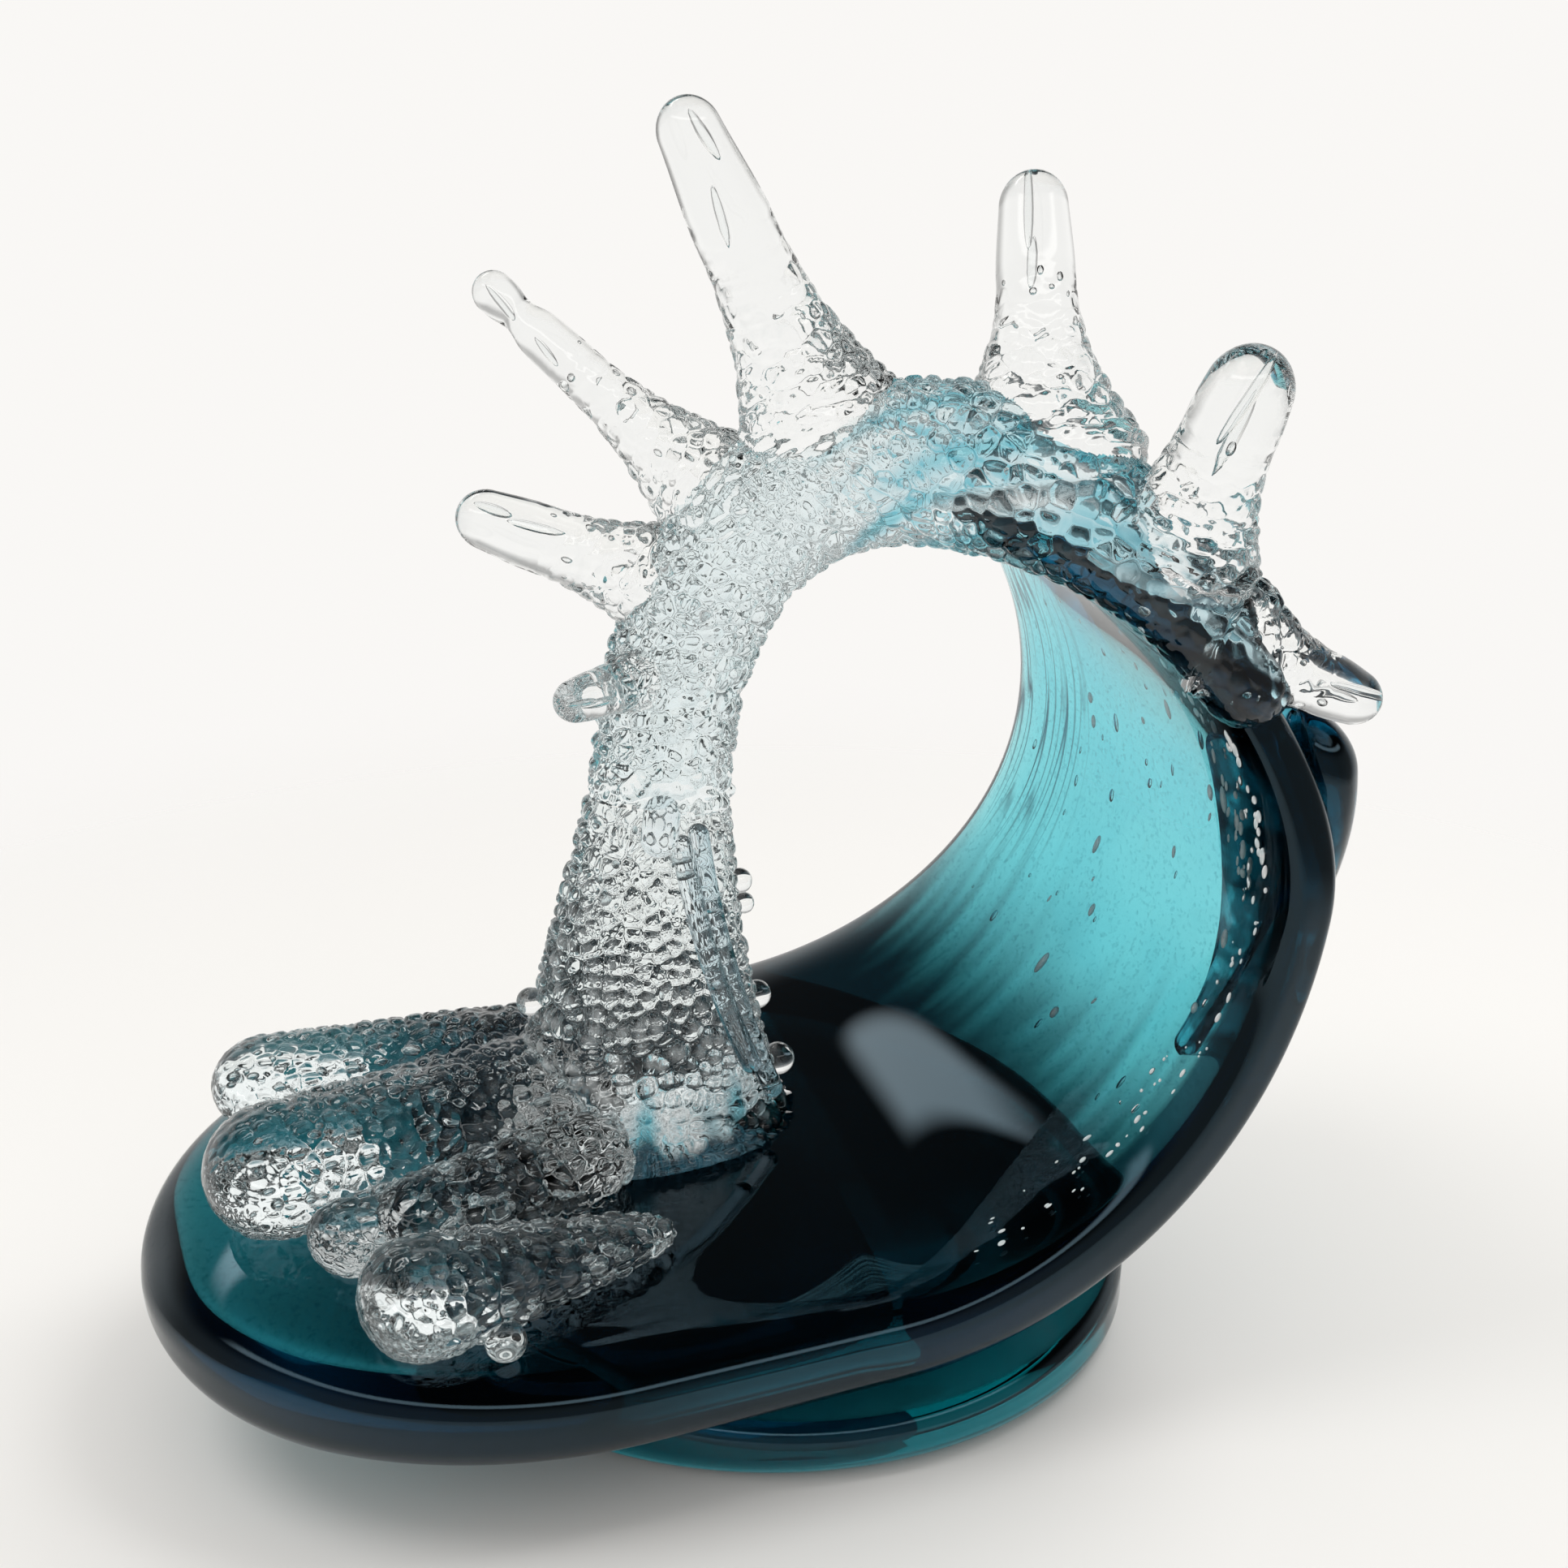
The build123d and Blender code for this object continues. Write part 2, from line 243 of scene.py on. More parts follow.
def ramped(owner, value, span, first=0.0, last=1.0):
    """Output that goes smoothly from first to last as the value goes over a span."""
    names = ("Value", "From Min", "From Max", "To Min", "To Max")
    node = fitted(owner, "MapRange", dict(zip(names, (value, *span, first, last))))
    node.interpolation_type = "SMOOTHSTEP"
    return node.outputs["Result"]


def product(owner, first, last):
    """Output of one number times another."""
    node = fitted(owner, "Math", {0: first, 1: last})
    node.operation = "MULTIPLY"
    return node.outputs["Value"]


def ease(share):
    """Smooth step: 0 below 0, 1 above 1, three squares less two cubes between."""
    share = np.clip(share, 0, 1)
    return share * share * (3 - 2 * share)


def blend(first, last, share):
    """Value that goes from first to last with the smooth step of share."""
    return first + (last - first) * ease(share)


def rising(value, start, width):
    """Smooth step of a value: 0 up to start, and 1 from start plus width on."""
    return ease((value - start) / width)


def wall_sizes(angle):
    """Near reach, far reach, thickness and squareness of the wall at angles round the barrel."""
    rise, curl = 1 + angle / 90, angle / lip_angle
    late = (curl - lip_far_hold) / (1 - lip_far_hold)
    low = angle < 0
    near = np.where(low, blend(tongue_near, wall_near, rise), blend(wall_near, lip_near, curl))
    far = np.where(low, blend(tongue_far, wall_far, rise), blend(wall_far, lip_far, late))
    low_thick = blend(tongue_thickness, wall_thickness, rise)
    thick = np.where(low, low_thick, blend(wall_thickness, lip_thickness, curl))
    square = np.where(low, blend(tongue_squareness, wall_squareness, rise), wall_squareness)
    return near, far, thick, square


def wavering(run, along, seed):
    """Smooth streaks from -1 to 1: four sines across the width that drift slowly along the run."""
    chance = np.random.default_rng(seed)
    total = 0
    for length in streak_lengths:
        shift, drift = chance.uniform(0, streak_shift, 2)
        swing = streak_swing * np.sin(run / streak_drift + drift)
        total = total + np.sin(full_turn * along / length + shift + swing) / len(streak_lengths)
    return total


def wave_rings():
    """Superellipses square to the wave's run: along the tongue, then round the barrel axis up to the lip.

    Also gives each point's run, its distances from the near and the far edge, and its height from -1 to 1.
    """
    end_share = 1 - np.cos(np.linspace(wave_first_bend, np.pi / 2, 70))
    straight = np.linspace(tongue_end_length + wave_row_gap, tongue_reach - wave_row_gap, 28)
    distance = np.concatenate([end_share * tongue_end_length, straight])
    full = np.sqrt(1 - np.clip(1 - distance / tongue_end_length, 0, 1) ** 2)
    rounding = np.clip(1 - distance / tongue_edge, 0, 1)
    angle = np.linspace(-90, lip_angle, 150)
    near, far, thick, square = wall_sizes(angle)
    spoke = np.cos(np.radians(angle))[:, None] * across_dir + np.sin(np.radians(angle))[:, None] * up_dir
    tongue_offset = (tongue_far - tongue_near) / 2
    tongue_middle = place(distance - tongue_reach, tongue_offset, -barrel_radius - tongue_thickness / 2)
    curl_offset = along_dir * ((far - near) / 2)[:, None]
    curl_middle = axis_point + spoke * (barrel_radius + thick / 2)[:, None] + curl_offset
    centre = np.concatenate([tongue_middle, curl_middle])
    heading = np.concatenate([np.broadcast_to(across_dir, tongue_middle.shape), np.cross(spoke, along_dir)])
    width = np.concatenate([(tongue_near + tongue_far) * full, near + far])
    thickness = np.concatenate([tongue_thickness * np.sqrt(1 - rounding ** 2), thick])
    power = 2 / np.concatenate([np.full(len(distance), tongue_squareness), square])
    taper = np.sqrt(1 - np.clip((angle - lip_taper) / (lip_angle - lip_taper), 0, lip_blunt) ** 2)
    width[-len(angle):] *= taper
    thickness[-len(angle):] *= taper
    turn = np.linspace(0, 2 * np.pi, 240, endpoint=False)
    flat = np.sign(np.cos(turn)) * np.abs(np.cos(turn)) ** power[:, None]
    tall = np.sign(np.sin(turn)) * np.abs(np.sin(turn)) ** power[:, None]
    side = np.cross(heading, along_dir)
    wide_part = (width[:, None] / 2 * flat)[..., None] * along_dir
    tall_part = (thickness[:, None] / 2 * tall)[..., None] * side[:, None]
    run = np.concatenate([distance - tongue_reach, np.radians(angle + 90) * barrel_radius])
    run = np.broadcast_to(run[:, None], flat.shape)
    gaps = (1 + flat) * width[:, None] / 2, (1 - flat) * width[:, None] / 2
    return centre[:, None] + wide_part + tall_part, run, *gaps, tall


def unit(vectors):
    """Vectors of length one."""
    return vectors / np.linalg.norm(vectors, axis=-1, keepdims=True)


def limb(path, side, half_x, half_y):
    """Path with an ellipse at each point: half sizes along side and square to it."""
    heading = unit(np.gradient(path, axis=0))
    x = unit(side - heading * (heading @ side)[:, None])
    y = np.cross(heading, x)
    return {"path": path, "heading": heading, "x": x, "y": y, "half_x": half_x, "half_y": half_y}


def limb_rings(shape, around):
    """Rings of points on a limb's ellipses."""
    turn = np.linspace(0, 2 * np.pi, around, endpoint=False)
    across = (shape["half_x"][:, None] * np.cos(turn))[..., None] * shape["x"][:, None]
    over = (shape["half_y"][:, None] * np.sin(turn))[..., None] * shape["y"][:, None]
    return shape["path"][:, None] + across + over


def bubble(centre, way, half_length, half_width):
    """Air bubble in glass: an ellipsoid long in one way, its faces turned to the air inside."""
    bend = np.linspace(-np.pi / 2, np.pi / 2, bubble_rows) * bubble_blunt
    path = centre + np.sin(bend)[:, None] * half_length * way
    side = unit(np.cross(way, bubble_side))
    half = half_width * np.cos(bend)
    return limb_rings(limb(path, side, half, half), bubble_around)[::-1]


def wall_bubbles(count, angles, insets, sizes, seed):
    """Bubbles drawn out along the curl under the wall's inner face, most of them towards the near edge."""
    chance = np.random.default_rng(seed)
    shells = []
    for number in range(count):
        angle = chance.uniform(*angles)
        near, far = wall_sizes(np.array(angle))[:2]
        room = min(near + far - bubble_margin, insets[1]) - insets[0]
        along = -near + insets[0] + room * chance.uniform(0, 1) ** bubble_crowding
        spoke = np.cos(np.radians(angle)) * across_dir + np.sin(np.radians(angle)) * up_dir
        way = unit(np.cross(spoke, along_dir) + along_dir * chance.normal(0, bubble_slant))
        size = sizes[0] + (sizes[1] - sizes[0]) * chance.uniform(0, 1) ** 2
        middle = axis_point + spoke * (barrel_radius + size + bubble_depth) + along_dir * along
        shells.append(bubble(middle, way, size * chance.uniform(*bubble_stretch), size))
    return shells


# Chip glass for the painted glints in the wave: white and only a little clear.
froth_glass = glass("froth_glass", froth_tint, roughness=0.2)
shade(froth_glass, "Transmission Weight", froth_clearness)
froth_grain = ramped(froth_glass, grain(froth_glass, scale=500, detail=2), (0.4, 0.65))
shade(froth_glass, "Base Color", mixed(froth_glass, froth_white, froth_grey, froth_grain))
wave_glass = glass("wave_glass", wave_tint, roughness=0.005, absorbed=wave_absorbed)
thread_place = {"X": mark(wave_glass, "run"), "Y": mark(wave_glass, "along")}
thread_grid = fitted(wave_glass, "CombineXYZ", thread_place).outputs["Vector"]
threads = grain(wave_glass, scale=1, detail=1, vector=thread_grid)
thread_below = ramped(wave_glass, threads, (thread_low, thread_middle))
thread_above = ramped(wave_glass, threads, (thread_high, thread_middle))
thread = product(wave_glass, product(wave_glass, thread_below, thread_above), mark(wave_glass, "threaded"))
cloud = ramped(wave_glass, grain(wave_glass, scale=45, detail=4), (0.45, 0.7), last=0.45)
speckle = ramped(wave_glass, grain(wave_glass, scale=800, detail=2), (0.56, 0.7), last=0.5)
colour = mixed(wave_glass, wave_pale, wave_cloud, cloud)
colour = mixed(wave_glass, colour, wave_speck, speckle)
colour = mixed(wave_glass, colour, wave_thread, thread)
shade(wave_glass, "Base Color", mixed(wave_glass, colour, wave_dark, mark(wave_glass, "dark")))
rings, run, near_gap, far_gap, tall = wave_rings()
angle = np.degrees(run / barrel_radius) - 90
streaks = wavering(run, near_gap, seed=3)
dark = 1 - rising(angle + dark_waver * streaks, *dark_fade)
dark = dark * (1 - end_clearness * rising(-run, *end_fade))
dark = dark * (1 - under_clearness * (tall < under_height) * (angle < tongue_angle))
rim = (1 - rising(near_gap - rim_waver * streaks, *rim_fade)) * (angle > tongue_angle)
dark = np.maximum(dark, rim * (1 - rising(angle, *rim_top)))
keel = (1 - rising(tall, *keel_height)) * (1 - rising(near_gap, *keel_inner))
keel = keel * rising(run, *keel_start) * (1 - rising(angle, *keel_end))
dark = dark * (1 - keel_clearness * keel)
far_threads = (1 - rising(far_gap, *thread_edge)) * rising(angle, *thread_rise)
threaded = np.maximum(far_threads, rising(angle, *thread_lip))
clear_bubbles = wall_bubbles(46, angles=(-45, 58), insets=(12, 99), sizes=(0.3, 0.8), seed=5)
# White chips under the wall's face and along the near edge: painted glints.
glint_chip_bubbles = wall_bubbles(30, angles=(-40, 50), insets=(14, 70), sizes=(0.25, 0.95), seed=6)
glint_chip_bubbles += wall_bubbles(60, angles=(2, 36), insets=(7, 17), sizes=(0.3, 0.9), seed=7)
glint_chip_bubbles += wall_bubbles(50, angles=(-75, 5), insets=(7, 16), sizes=(0.15, 0.45), seed=8)
skin(
    "wave_gather", [rings] + clear_bubbles + glint_chip_bubbles, [wave_glass, froth_glass],
    "teal_glass", "wave_body", chips=len(glint_chip_bubbles),
    dark=dark, threaded=threaded, run=run * thread_run, along=far_gap * thread_width,
)

# Back flap: a dark lump of the same teal glass, folded back on the outside of the right wall.
# It is pressed on hot and follows the wall's bend.
flap_low_angle, flap_high_angle = -30, 24
flap_along, flap_proud, flap_around = -56, 2, 96
flap_low_size, flap_high_size = (3, 3), (13, 8)
fold_run, fold_swing, fold_height = 6, 3, 0.7
flap_tint, flap_dark, flap_pale = (0.1, 0.14, 0.16), (0.03, 0.045, 0.055), (0.5, 0.75, 0.8)
flap_absorbed = (95, 26, 15)
tip_blunt = 0.985


def round_shares(tip, rows, start=0.0):
    """Shares along a bit and their size: full size, then a round tip, and a round start if asked for."""
    bend = np.linspace(0, np.pi / 2, rows // 4)[1:] * tip_blunt
    shares = [np.linspace(start, 1 - tip, rows), 1 - tip + tip * np.sin(bend)]
    scales = [np.ones(rows), np.cos(bend)]
    if start > 0:
        shares.insert(0, start * (1 - np.sin(bend[::-1])))
        scales.insert(0, np.cos(bend[::-1]))
    return np.concatenate(shares), np.concatenate(scales)


def tapered(first, last, share, scale):
    """Two half sizes that blend from the first pair to the last, times a scale."""
    return [blend(start, end, share) * scale for start, end in zip(first, last)]


def outward(rings):
    """Unit normals of ringed points: the way round crossed with the way along."""
    way_round = np.roll(rings, -1, axis=1) - np.roll(rings, 1, axis=1)
    way_along = np.gradient(rings, axis=0)
    normal = np.cross(way_round, way_along)
    return normal / np.maximum(np.linalg.norm(normal, axis=-1, keepdims=True), 1e-9)


def flap_limb():
    """Arc on the outside of the wall, with ellipses that grow from its low end to its high end."""
    radius = barrel_radius + wall_thickness + flap_proud
    length = 2 * radius * np.sin(np.radians(flap_high_angle - flap_low_angle) / 2)
    share, scale = round_shares(sum(flap_high_size) / 2 / length, 90, sum(flap_low_size) / 2 / length)
    angle = np.radians(flap_low_angle + (flap_high_angle - flap_low_angle) * share)
    path = place(radius * np.cos(angle), flap_along, radius * np.sin(angle))
    return limb(path, along_dir, *tapered(flap_low_size, flap_high_size, share, scale))


flap_glass = glass("flap_glass", flap_tint, roughness=0.005, absorbed=flap_absorbed)
flap_patch = ramped(flap_glass, grain(flap_glass, scale=90, detail=2), (0.45, 0.6))
shade(flap_glass, "Base Color", mixed(flap_glass, flap_dark, flap_pale, flap_patch))
rings = limb_rings(flap_limb(), flap_around)
fold_turn = fold_swing * np.cos(np.linspace(0, full_turn, flap_around, endpoint=False))
folds = np.sin(np.linspace(0, fold_run, len(rings))[:, None] + fold_turn)
rings = rings + outward(rings) * folds[..., None] * fold_height
skin("flap_lump", [rings], [flap_glass], "teal_glass", "back_flap")

# Crest: clear bubbly glass laid over the lip, from the near rim over the top to the head of the column.
# It is rolled in soda before the last heat, which pebbles its skin, and teal from the lip bleeds into it.
# Its skin is closed further down, once the bits on it are in place.
crest_start_angle, crest_rim_offset, crest_start_along = 30, 6, -66
crest_lift, crest_drop, crest_sweep = 70, 84, 16
crest_start_size, crest_top_size, crest_end_size = (7, 8), (11, 14), (10, 13.5)
crest_top_share, crest_start_round, crest_start_tip = 0.4, 0.04, 0.02
crest_end_share, crest_end_swell = 0.92, 1.055
column_top = (-22, 3, -2)


def bezier(points, share):
    """Bezier curve: repeated blends of its control points."""
    share = np.asarray(share)[..., None]
    while len(points) > 1:
        points = [first + (last - first) * share for first, last in zip(points, points[1:])]
    return points[0]


def crest_path(share):
    """Middle of the crest: a cubic curve that leaves the rim along the curl and ends on the column."""
    angle, radius = np.radians(crest_start_angle), barrel_radius + crest_rim_offset
    start = place(radius * np.cos(angle), crest_start_along, radius * np.sin(angle))
    leave = up_dir * np.cos(angle) - across_dir * np.sin(angle)
    end = place(*column_top)
    rise = start + leave * crest_lift + along_dir * crest_sweep
    return bezier([start, rise, end + up_dir * crest_drop, end], share)


def crest_size(share, which):
    """Half depth or half height of the crest: up to its top and then down to its end."""
    start, top, end = crest_start_size[which], crest_top_size[which], crest_end_size[which]
    up = blend(start, top, share / crest_top_share)
    down = blend(top, end, (share - crest_top_share) / (1 - crest_top_share))
    return np.where(share < crest_top_share, up, down)


crest_share = np.linspace(0, 1, 380)
crest_round = np.sqrt(1 - np.clip(1 - crest_share / crest_start_round, 0, 1) ** 2)
crest_rise = crest_round * (1 - crest_start_tip) + crest_start_tip
crest_rise = crest_rise * blend(1, crest_end_swell, (crest_share - crest_end_share) / (1 - crest_end_share))
crest_limb = limb(
    crest_path(crest_share), along_dir,
    crest_size(crest_share, 0) * crest_rise, crest_size(crest_share, 1) * crest_rise,
)

# Fingers: clear glass pulled out of the soft crest with tweezers, with flared roots and fire-polished tips.
# Each has its share along the crest, its leans to the right and to the viewer, its length, the half widths
# of root, waist and tip, and how far its neck is drawn in. The seam where it is fused in shows nothing.
fingers = {
    "finger_right_low": (0.09, 115, -3, 32, 11, 5.5, 4.2, 0),
    "finger_right_high": (0.16, 16, 16, 40, 14, 7.5, 6.3, 0),
    "finger_top_right": (0.31, -2, -18, 52, 17, 6.5, 5.4, 0),
    "finger_top_left": (0.55, -25, 6, 65.5, 17, 6.8, 5, 0),
    "finger_left_high": (0.69, -49, -12, 66, 14, 4.6, 3.8, 0.24),
    "finger_left_mid": (0.79, -68, 9, 47, 13, 6.2, 5, 0),
    "finger_left_low": (0.87, -95, 48, 30, 9, 4.4, 3.6, 0),
}
finger_flatness, finger_waist, finger_seat, finger_seat_rows = 0.6, 0.6, 0.6, 11
neck_share, neck_width, side_step, seam_reach = 0.83, 0.05, 0.01, 1.5
pebble_groove, pebble_groove_width = 0.5, 0.4
fine_pebble_size, fine_pebble_share, fine_pebble_level = 0.45, 0.12, 0.6
patch_size, patch_least, patch_range = 3, 0.4, 0.9
finger_pebble_size, finger_pebble_height, finger_smoothing = 2.9, 1.0, (-0.1, 1.5)
long_bubble_shares, long_bubble_aside, long_bubble_slant = (0.62, 0.78), 0.3, 0.08
long_bubble_length, long_bubble_width = (0.6, 1.3), 0.14
foam_bubble_stretch, foam_bubble_floor = (1, 1.8), 0.4
clear_tint = (0.97, 0.985, 0.985)


def cells(points, size, seed):
    """Distances, in cubes of this size, to the nearest and the next nearest of scattered centres.

    Each cube holds one centre, at the fractions of large sines of the cube's own number.
    """
    grid = points.reshape(-1, 3) / size
    cube = np.floor(grid)
    mixing = np.array([[127.1, 311.7, 74.7], [269.5, 183.3, 246.1], [113.5, 271.9, 124.6]])
    near, next_near = np.full(len(grid), 9.0), np.full(len(grid), 9.0)
    for step in np.ndindex(3, 3, 3):
        other = cube + np.array(step) - 1
        centre = other + np.modf(np.abs(np.sin(other @ mixing + seed)) * 43758.5453)[0]
        gap = np.linalg.norm(grid - centre, axis=1)
        next_near = np.minimum(next_near, np.maximum(near, gap))
        near = np.minimum(near, gap)
    return near.reshape(points.shape[:-1]), next_near.reshape(points.shape[:-1])


def pebbled(rings, size, height, seed, share=1.0):
    """Rings raised into pebbles: domes over scattered centres in two sizes, lower in patches."""
    near, next_near = cells(rings, size, seed)
    patch = patch_least + patch_range * cells(rings, size * patch_size, seed + 3)[0]
    coarse = pebble_groove * ease((next_near - near) / pebble_groove_width) - near ** 2
    fine = 1 - cells(rings, size * fine_pebble_size, seed + 7)[0] ** 2 - fine_pebble_level
    rise = height * (coarse + fine_pebble_share * fine)
    return rings + outward(rings) * (rise * patch * share)[..., None]


def within(points, shape, margin=0.95):
    """Whether points lie inside a limb: nearest point of its path, then that point's ellipse."""
    flat = points.reshape(-1, 3)
    gaps = (flat ** 2).sum(1)[:, None] - 2 * flat @ shape["path"].T + (shape["path"] ** 2).sum(1)
    near = gaps.argmin(1)
    away = flat - shape["path"][near]
    x = (away * shape["x"][near]).sum(1) / shape["half_x"][near]
    y = (away * shape["y"][near]).sum(1) / shape["half_y"][near]
    past_end = np.abs((away * shape["heading"][near]).sum(1))
    return ((x * x + y * y < margin) & (past_end < seam_reach)).reshape(points.shape[:-1])


def finger_limb(share, lean_right, lean_near, length, root, waist, tip, neck):
    """Straight pull to a round tip, flared by a square of the way to the waist, necked by a bell curve."""
    right, near = np.radians(lean_right), np.radians(lean_near)
    out = np.array([np.sin(right) * np.cos(near), -np.sin(near), np.cos(right) * np.cos(near)])
    seat = crest_size(np.array(share), 1) * finger_seat
    reach = length - seat
    part, scale = round_shares(tip / reach, 130)
    part = np.concatenate([np.linspace(-seat / reach, 0, finger_seat_rows, endpoint=False), part])
    scale = np.concatenate([np.ones(finger_seat_rows), scale])
    flare = np.clip(1 - np.maximum(part, 0) / finger_waist, 0, 1) ** 2
    body = blend(waist, tip, (part - finger_waist) / (1 - finger_waist))
    scale = scale * (1 - neck * np.exp(-((part - neck_share) / neck_width) ** 2))
    half_x = (body + (root - waist) * flare) * scale
    half_y = (body + (root * finger_flatness - waist) * flare) * scale
    path = crest_path(np.array(share)) + out * (seat + reach * part)[:, None]
    side = crest_path(np.array(share + side_step)) - crest_path(np.array(share - side_step))
    return limb(path, unit(side), half_x, half_y)


def limb_bubbles(shape, count, sizes, seed, shares=(0.05, 0.9), depth=1.4):
    """Bubbles scattered just under a limb's skin, drawn out a little along it."""
    chance = np.random.default_rng(seed)
    shells = []
    for number in range(count):
        row = int(len(shape["path"]) * chance.uniform(*shares))
        turn = chance.uniform(0, full_turn)
        size = sizes[0] + (sizes[1] - sizes[0]) * chance.uniform(0, 1) ** 2
        long = size * chance.uniform(*foam_bubble_stretch)
        inset = depth + size
        x = max(shape["half_x"][row] - inset, 0) * np.cos(turn) * shape["x"][row]
        y = max(shape["half_y"][row] - inset, 0) * np.sin(turn) * shape["y"][row]
        centre = shape["path"][row] + x + y
        if (centre - axis_point) @ up_dir > long + foam_bubble_floor - barrel_radius:
            shells.append(bubble(centre, shape["heading"][row], long, size))
    return shells


def finger_bubbles(shape, tip, seed):
    """Small bubbles round the root and two long ones drawn out towards the tip."""
    chance = np.random.default_rng(seed)
    shells = limb_bubbles(shape, 16, (0.3, 0.8), seed, shares=(0.12, 0.6), depth=1.0)
    for share in long_bubble_shares:
        row = int(len(shape["path"]) * share)
        x, y = shape["x"][row], shape["y"][row]
        shift_x, shift_y = chance.uniform(-long_bubble_aside, long_bubble_aside, 2) * tip
        centre = shape["path"][row] + x * shift_x + y * shift_y
        way = unit(shape["heading"][row] + x * chance.normal(0, long_bubble_slant))
        half_length = tip * chance.uniform(*long_bubble_length)
        shells.append(bubble(centre, way, half_length, tip * long_bubble_width))
    return shells


clear_glass = glass("clear_glass", clear_tint, roughness=0.0)
fused_seam = bpy.data.materials.new("fused_seam")
fused_seam.use_nodes = True
fused_seam.node_tree.nodes.remove(fused_seam.node_tree.nodes["Principled BSDF"])
seam_shader = fitted(fused_seam, "BsdfTransparent", {})
shade(fused_seam, "Surface", seam_shader.outputs["BSDF"], "Material Output")
finger_limbs = {name: finger_limb(*sizes) for name, sizes in fingers.items()}
for number, (name, shape) in enumerate(finger_limbs.items()):
    tip = fingers[name][6]
    rings = limb_rings(shape, 84)
    fade = (1 - ease(np.linspace(*finger_smoothing, len(rings))))[:, None]
    surface = pebbled(rings, finger_pebble_size, finger_pebble_height, 20 + number, fade)
    shells = [surface] + finger_bubbles(shape, tip, 60 + number)
    skin(name + "_pull", shells, [clear_glass, fused_seam], "clear_glass", name, within(rings, crest_limb))

# Column: clear pebbled glass that falls from the crest's end down to the tongue, spreading at its foot.
# It is one gather with the crest's foam, set down on the tongue while hot.
column_foot_across, column_foot_along, column_foot_size = -28, -12, (20, 31)
column_flare, column_sink, column_lap = 0.8, 3, 4


def column_path(height):
    """Middle of the column: a quadratic curve from its foot to its top."""
    foot = place(column_foot_across, column_foot_along, -barrel_radius - column_sink)
    top = place(column_top[0], column_top[1], column_top[2] + column_lap)
    knee = (foot + top) / 2 + across_dir * ((column_foot_across - column_top[0]) / 2)
    return bezier([foot, knee, top], height)


def column_size(height, which):
    """Half depth or half width of the column: it narrows with a power of the height."""
    foot, top = column_foot_size[which], crest_end_size[which]
    return foot + (top - foot) * np.asarray(height, float) ** column_flare


column_height = np.linspace(0, 1, 160)
column_limb = limb(
    column_path(column_height), along_dir,
    column_size(column_height, 0), column_size(column_height, 1),
)

# Trails: two smooth threads and a teardrop head of faintly blue glass, down the front of the column.
# They are run on from a hot rod and pressed half into the soft foam.
# Each has its turn round the column at its top and its foot, its two heights and its radius.
trails = {
    "trail_head": (-100, -100, 1, 0.84, 3.6),
    "trail_outer": (-74, -34, 0.93, 0.12, 2.1),
    "trail_inner": (-86, -46, 0.90, 0.22, 2.1),
}
trail_proud = 1.5
trail_tint, trail_deep, trail_pale = (0.76, 0.86, 0.9), (0.6, 0.74, 0.81), (0.86, 0.93, 0.95)


def column_skin(turned, height, proud):
    """Points on the column's surface: turned round it from its right edge towards the far side."""
    height = np.asarray(height, float)
    above, below = np.minimum(height + side_step, 1), np.maximum(height - side_step, 0)
    tangent = unit(column_path(above) - column_path(below))
    across = unit(across_dir - tangent * (tangent @ across_dir)[..., None])
    deep = np.cross(tangent, across)
    angle = np.radians(turned)
    wide = (column_size(height, 1) + proud) * np.cos(angle)
    thick = (column_size(height, 0) + proud) * np.sin(angle)
    return column_path(height) + across * wide[..., None] + deep * thick[..., None]


def trail_limb(turn_top, turn_foot, high, low, radius):
    """Thread on the column's surface, with both ends round."""
    ends = column_skin(np.array([turn_top, turn_foot]), np.array([high, low]), trail_proud)
    rounding = radius / np.linalg.norm(ends[1] - ends[0])
    share, scale = round_shares(rounding, 70, rounding)
    path = column_skin(turn_top + (turn_foot - turn_top) * share, high + (low - high) * share, trail_proud)
    return limb(path, across_dir, radius * scale, radius * scale)


trail_glass = glass("trail_glass", trail_tint, roughness=0.0)
trail_grain = grain(trail_glass, scale=120, detail=2)
shade(trail_glass, "Base Color", mixed(trail_glass, trail_deep, trail_pale, trail_grain))
trail_limbs = {name: trail_limb(*sizes) for name, sizes in trails.items()}
for name, shape in trail_limbs.items():
    rings = limb_rings(shape, 32)
    sunk = within(rings, column_limb)
    skin(name + "_thread", [rings], [trail_glass, fused_seam], "clear_glass", name, sunk)

# Toes: clear pebbled bits where the column's foam runs out over the tongue, each with a smooth round tip.
# They are trailed on hot from the column's foot, and sink a little into the tongue.
# Each has the places of its root and tip on the tongue, their half sizes, and the taper of a free root.
toes = {
    "splash_toe_back": ((-36, 6), (-111, 16), (15, 9), (12, 7.5), 12),
    "splash_toe_big": ((-38, -8), (-114, -19), (15, 12), (15, 11), 0),
    "splash_toe_front": ((-33, -48), (-91, -58), (6, 4), (13, 10), 14),
    "splash_toe_small": ((-36, -26), (-86, -38), (11, 9), (8, 8), 12),
    "splash_toe_gap": ((-44, -22), (-97, -37), (9, 7), (9, 6), 0),
}
toe_sink, toe_pebble_height, toe_froth = 0.3, 1.0, 0.15
toe_smoothing, toe_smoothness = (-2.2, 1.1), 0.85
seal_share, seal_waver, seal_patch, seal_seed = 0.66, 0.5, 7, 5
foam_pebble_size, foam_bubble_depth, air_film = 3.2, 0.7, 0.12
# Milky white in the middle of the foam's pebbles is painted glints.
froth_core, froth_fade = 0.2025, 0.45
foam_clear, foam_teal, foam_navy = (0.9, 0.96, 0.97), (0.12, 0.5, 0.62), (0.004, 0.018, 0.03)
foam_froth_clearness = 0.4


